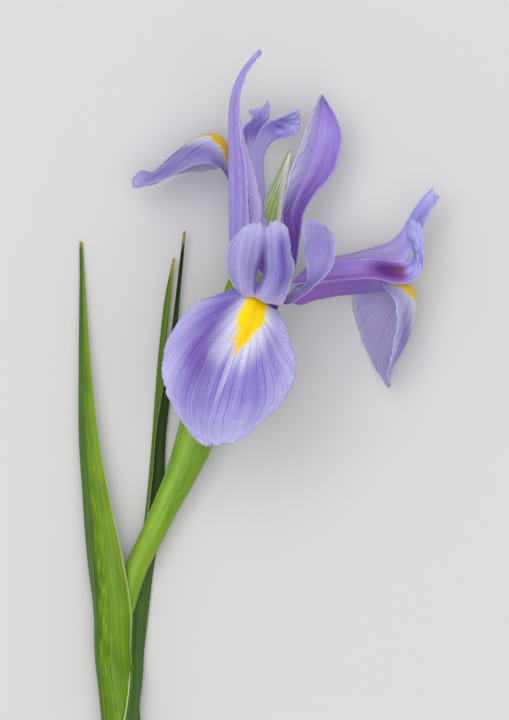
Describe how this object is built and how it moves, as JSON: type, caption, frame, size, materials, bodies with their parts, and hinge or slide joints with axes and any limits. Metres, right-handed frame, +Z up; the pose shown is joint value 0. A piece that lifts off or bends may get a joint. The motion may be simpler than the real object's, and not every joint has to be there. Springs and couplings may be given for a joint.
{
  "type": "iris flower",
  "caption": "Cut blue iris lying on its side: an open flower with falls, standards and style arms, a green spathe, a stem and long narrow leaves.",
  "frame": {"origin": "middle of the footprint of the whole cut flower, on the surface it lies on", "axes": "+Z up from the surface, +Y along the stem from its cut end towards the flower, +X to the right seen from above with the flower at the top"},
  "size_m": [0.1092, 0.2896, 0.073],
  "materials": {
    "petal_blue": "thin matt petal, blue-violet with darker veins and a yellow signal patch on each fall",
    "petal_lilac": "thin matt petal, lilac-blue with fine lengthwise veins",
    "crest_pale": "thin matt petal-like style, pale blue with darker veins",
    "stem_green": "smooth waxy green, slightly shiny",
    "leaf_green": "dark green leaf, lengthwise veins, satin",
    "spathe_green": "light green spathe, satin, papery towards the tip",
    "pollen_cream": "dry, powdery"
  },
  "bodies": {
    "root": {"fall_right": "petal_blue", "fall_left": "petal_blue", "fall_front": "petal_blue", "standard_left": "petal_lilac", "standard_back": "petal_lilac", "standard_front": "petal_lilac", "style_arm_right": "crest_pale", "style_arm_left": "crest_pale", "style_arm_front": "crest_pale", "leaf_left": "stem_green", "leaf_long": "leaf_green", "leaf_short": "leaf_green", "spathe_outer": "spathe_green", "spathe_inner": "spathe_green", "stem": "stem_green", "pedicel": "spathe_green", "ovary": "spathe_green", "perianth_tube": "petal_lilac", "style_column": "crest_pale", "filament_right": "crest_pale", "filament_left": "crest_pale", "filament_front": "crest_pale", "anther_right": "pollen_cream", "anther_left": "pollen_cream", "anther_front": "pollen_cream"}
  },
  "joints": []
}
